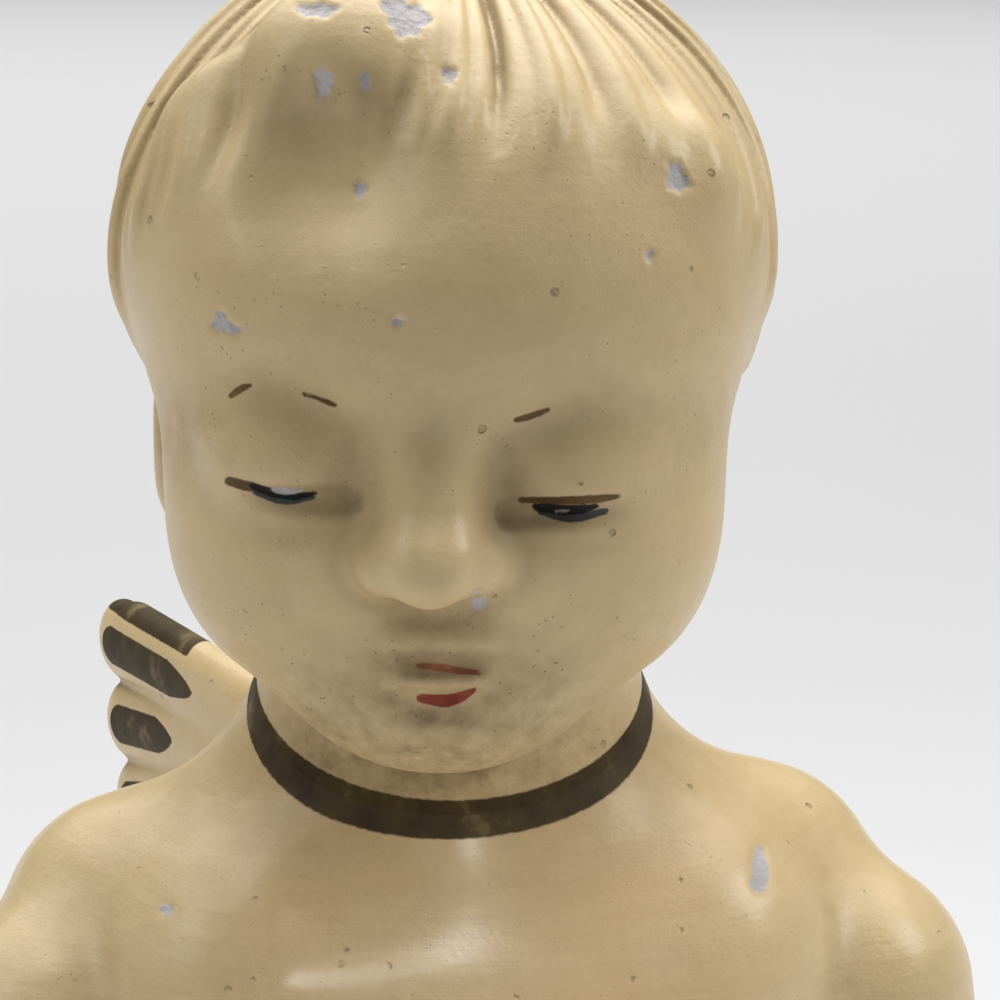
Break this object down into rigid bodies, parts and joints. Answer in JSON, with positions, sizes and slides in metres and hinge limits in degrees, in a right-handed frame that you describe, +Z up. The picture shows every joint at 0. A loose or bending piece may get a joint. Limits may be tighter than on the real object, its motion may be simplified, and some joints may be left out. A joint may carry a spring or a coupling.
{
  "type": "chalkware figure",
  "caption": "cream-painted plaster figure of a kneeling winged child with bowed head, joined hands, moulded hair and a dark olive painted collar band",
  "frame": {"origin": "middle of the felt's underside, where the figure stands", "axes": "+Z up, the figure's gown faces -Y, +X is the figure's left side"},
  "size_m": [0.121, 0.1495, 0.249],
  "materials": {
    "painted_plaster": "cast plaster under yellowed cream satin paint, chipped to pale plaster",
    "wood": "plain beech dowel",
    "wire": "drawn soft wire",
    "jute": "coarse woven jute set in plaster",
    "felt": "pressed green felt"
  },
  "bodies": {
    "root": {"head_front": "painted_plaster", "head_back": "painted_plaster", "body_front": "painted_plaster", "body_back": "painted_plaster", "left_wing": "painted_plaster", "right_wing": "painted_plaster", "hands": "painted_plaster", "neck_dowel": "wood", "left_wing_pins": "wire", "right_wing_pins": "wire", "hands_pin": "wire", "body_scrim": "jute", "head_scrim": "jute", "felt_pad": "felt"}
  },
  "joints": []
}
